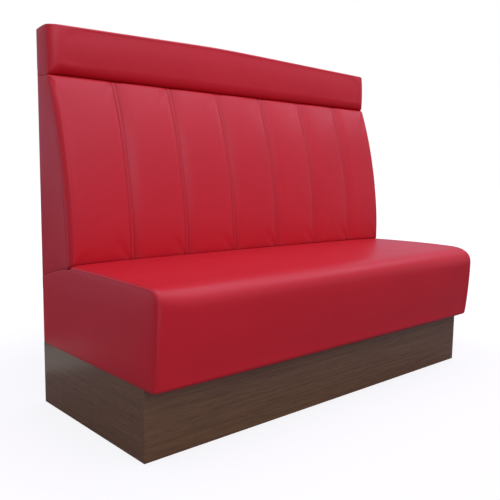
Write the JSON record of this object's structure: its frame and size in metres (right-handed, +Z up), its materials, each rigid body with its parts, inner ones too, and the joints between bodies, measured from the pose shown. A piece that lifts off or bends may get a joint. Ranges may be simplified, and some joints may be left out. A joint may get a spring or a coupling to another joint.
{
  "type": "restaurant booth seat",
  "caption": "High-backed upholstered booth bench with a channelled back, a padded head roll and a recessed wood-effect plinth, made to stand against a wall.",
  "frame": {"origin": "on the floor, under the middle of the seat's length and depth", "axes": "+X along the seat, +Y from the sitter's side to the wall, +Z up"},
  "size_m": [1.5, 0.665, 1.205],
  "materials": {
    "red_vinyl": "satin",
    "walnut_laminate": "satin",
    "plywood": "matte",
    "softwood": "matte",
    "foam": "matte",
    "black_lining": "matte",
    "zinc_steel": "satin"
  },
  "bodies": {
    "root": {"back_channel_1": "red_vinyl", "back_channel_2": "red_vinyl", "back_channel_3": "red_vinyl", "back_channel_4": "red_vinyl", "back_channel_5": "red_vinyl", "back_channel_6": "red_vinyl", "back_channel_7": "red_vinyl", "back_face_board": "plywood", "back_foam": "foam", "back_foot_board": "plywood", "back_left_end_cover": "red_vinyl", "back_left_end_pad": "foam", "back_left_end_rib": "plywood", "back_left_rib": "plywood", "back_middle_rail": "softwood", "back_rear_lining": "black_lining", "back_right_end_cover": "red_vinyl", "back_right_end_pad": "foam", "back_right_end_rib": "plywood", "back_right_rib": "plywood", "back_top_rail": "plywood", "coach_screws": "zinc_steel", "plinth_cross_rail_left": "plywood", "plinth_cross_rail_right": "plywood", "plinth_front_batten": "softwood", "plinth_front_board": "walnut_laminate", "plinth_left_board": "walnut_laminate", "plinth_rear_batten": "softwood", "plinth_rear_rail": "plywood", "plinth_right_board": "walnut_laminate", "roll_board": "plywood", "roll_cover": "red_vinyl", "roll_foam": "foam", "roll_left_end_cover": "red_vinyl", "roll_right_end_cover": "red_vinyl", "roll_shelf": "plywood", "seat_base_lining": "black_lining", "seat_cover": "red_vinyl", "seat_deck": "plywood", "seat_foam": "foam", "seat_front_batten": "softwood", "seat_front_board": "plywood", "seat_front_foam": "foam", "seat_left_end_board": "plywood", "seat_left_end_cover": "red_vinyl", "seat_left_end_pad": "foam", "seat_left_rib": "plywood", "seat_ramp_board": "plywood", "seat_ramp_rail": "plywood", "seat_rear_batten": "softwood", "seat_rear_board": "plywood", "seat_rear_lining": "black_lining", "seat_right_end_board": "plywood", "seat_right_end_cover": "red_vinyl", "seat_right_end_pad": "foam", "seat_right_rib": "plywood"}
  },
  "joints": []
}
